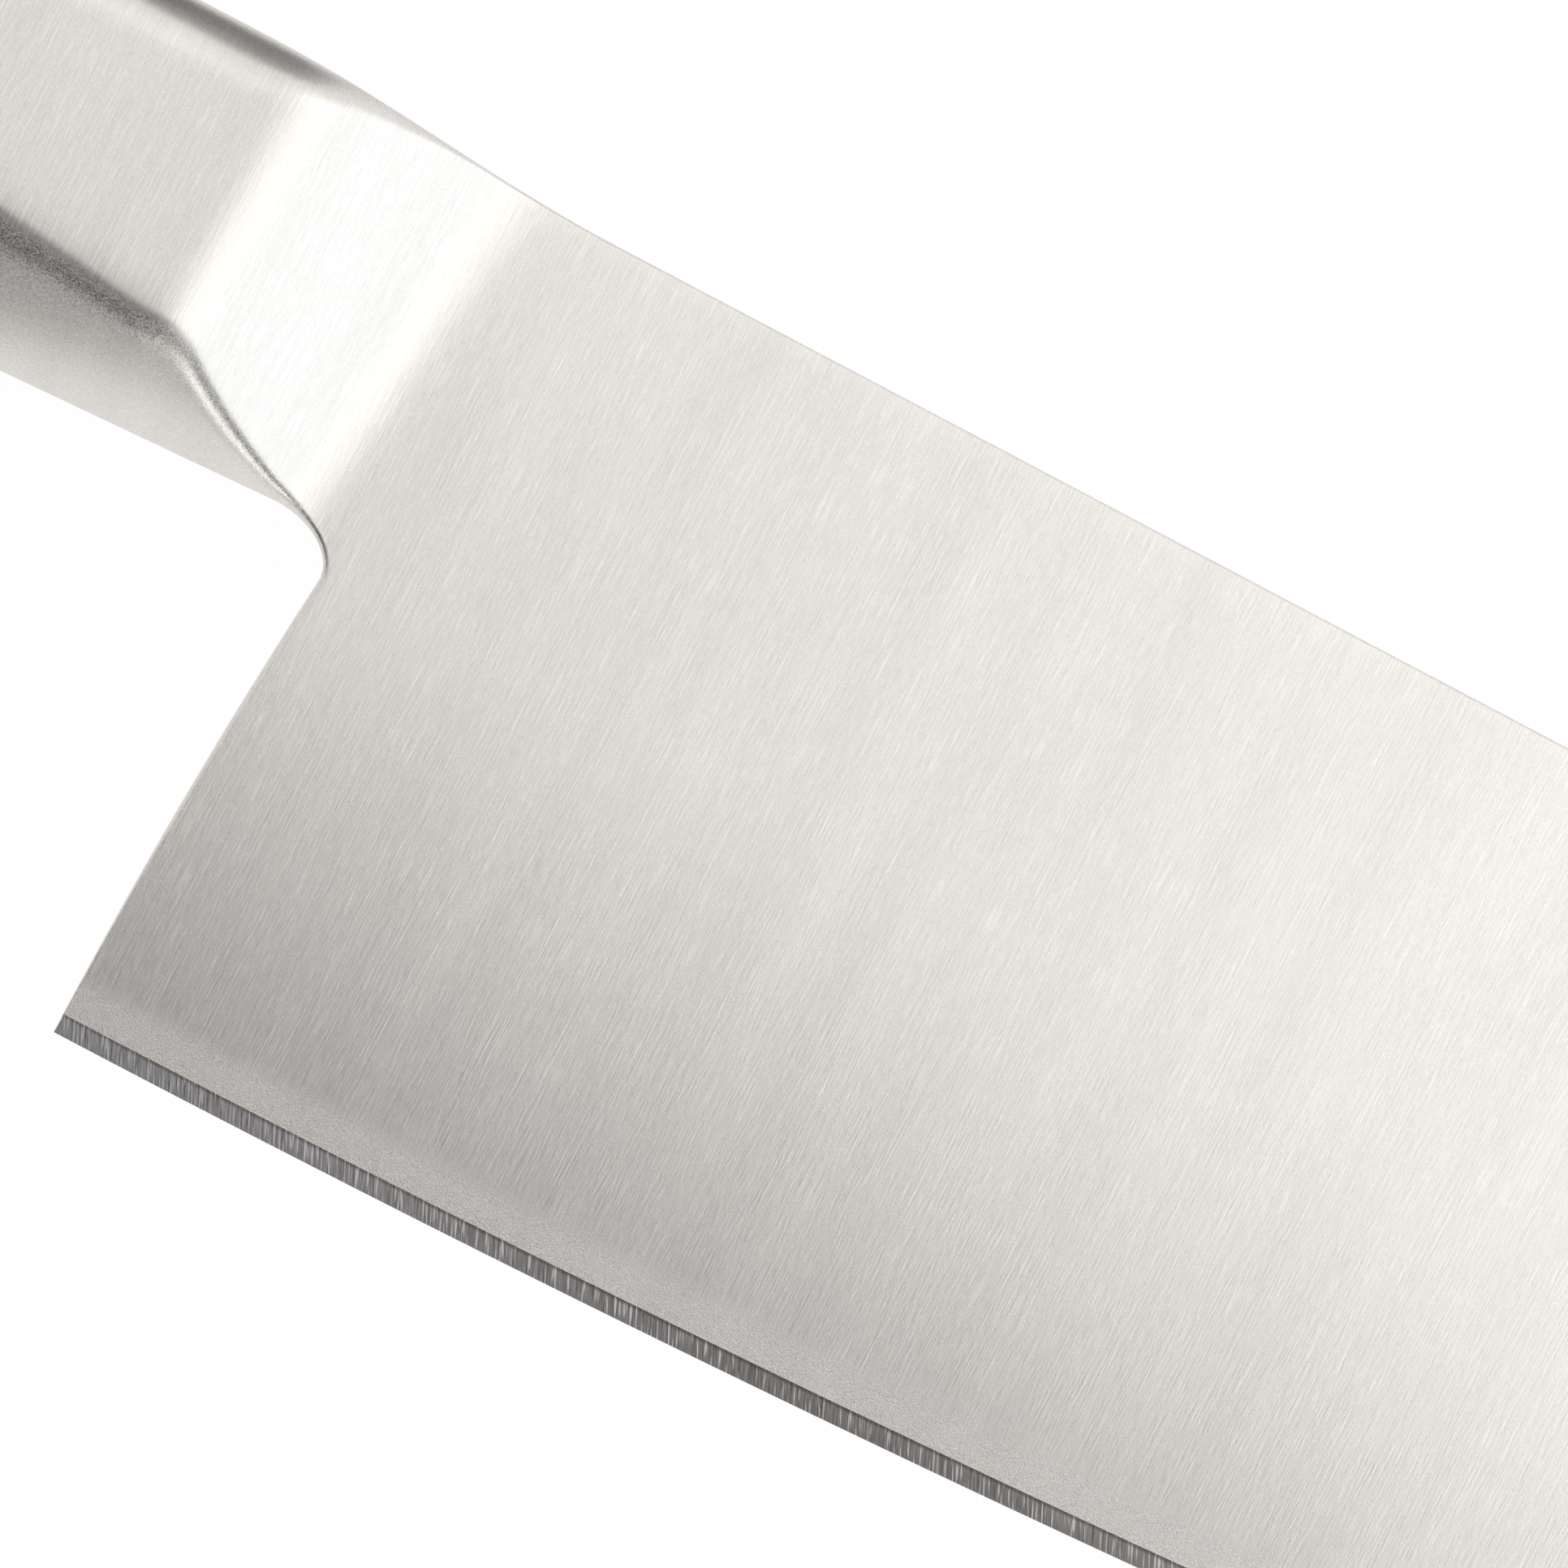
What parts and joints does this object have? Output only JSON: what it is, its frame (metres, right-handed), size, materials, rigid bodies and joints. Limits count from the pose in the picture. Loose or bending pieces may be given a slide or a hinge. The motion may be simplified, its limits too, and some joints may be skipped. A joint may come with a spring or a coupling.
{
  "type": "gyuto knife",
  "caption": "All-stainless gyuto: ground blade plate, bolster cheeks swept into its face, and a hollow handle with flat flanks and a slanted belly.",
  "frame": {"origin": "middle of the knife's outline, on the surface that its left flank lies on", "axes": "+X along the spine from butt to tip, +Y from the edge to the spine, +Z out of the right-hand face"},
  "size_m": [0.3364, 0.0474, 0.0166],
  "materials": {
    "blade_steel": "fine brushed satin, the brush lines square to the spine",
    "handle_steel": "brushed flanks, blasted matt belly and back",
    "weld_steel": "weld metal ground flush and blasted matt"
  },
  "bodies": {
    "root": {"blade": "blade_steel", "bolster_right": "blade_steel", "bolster_left": "blade_steel", "handle_shell_right": "handle_steel", "handle_shell_left": "handle_steel", "spine_weld": "weld_steel", "keel_weld": "weld_steel", "butt_cap": "handle_steel"}
  },
  "joints": []
}
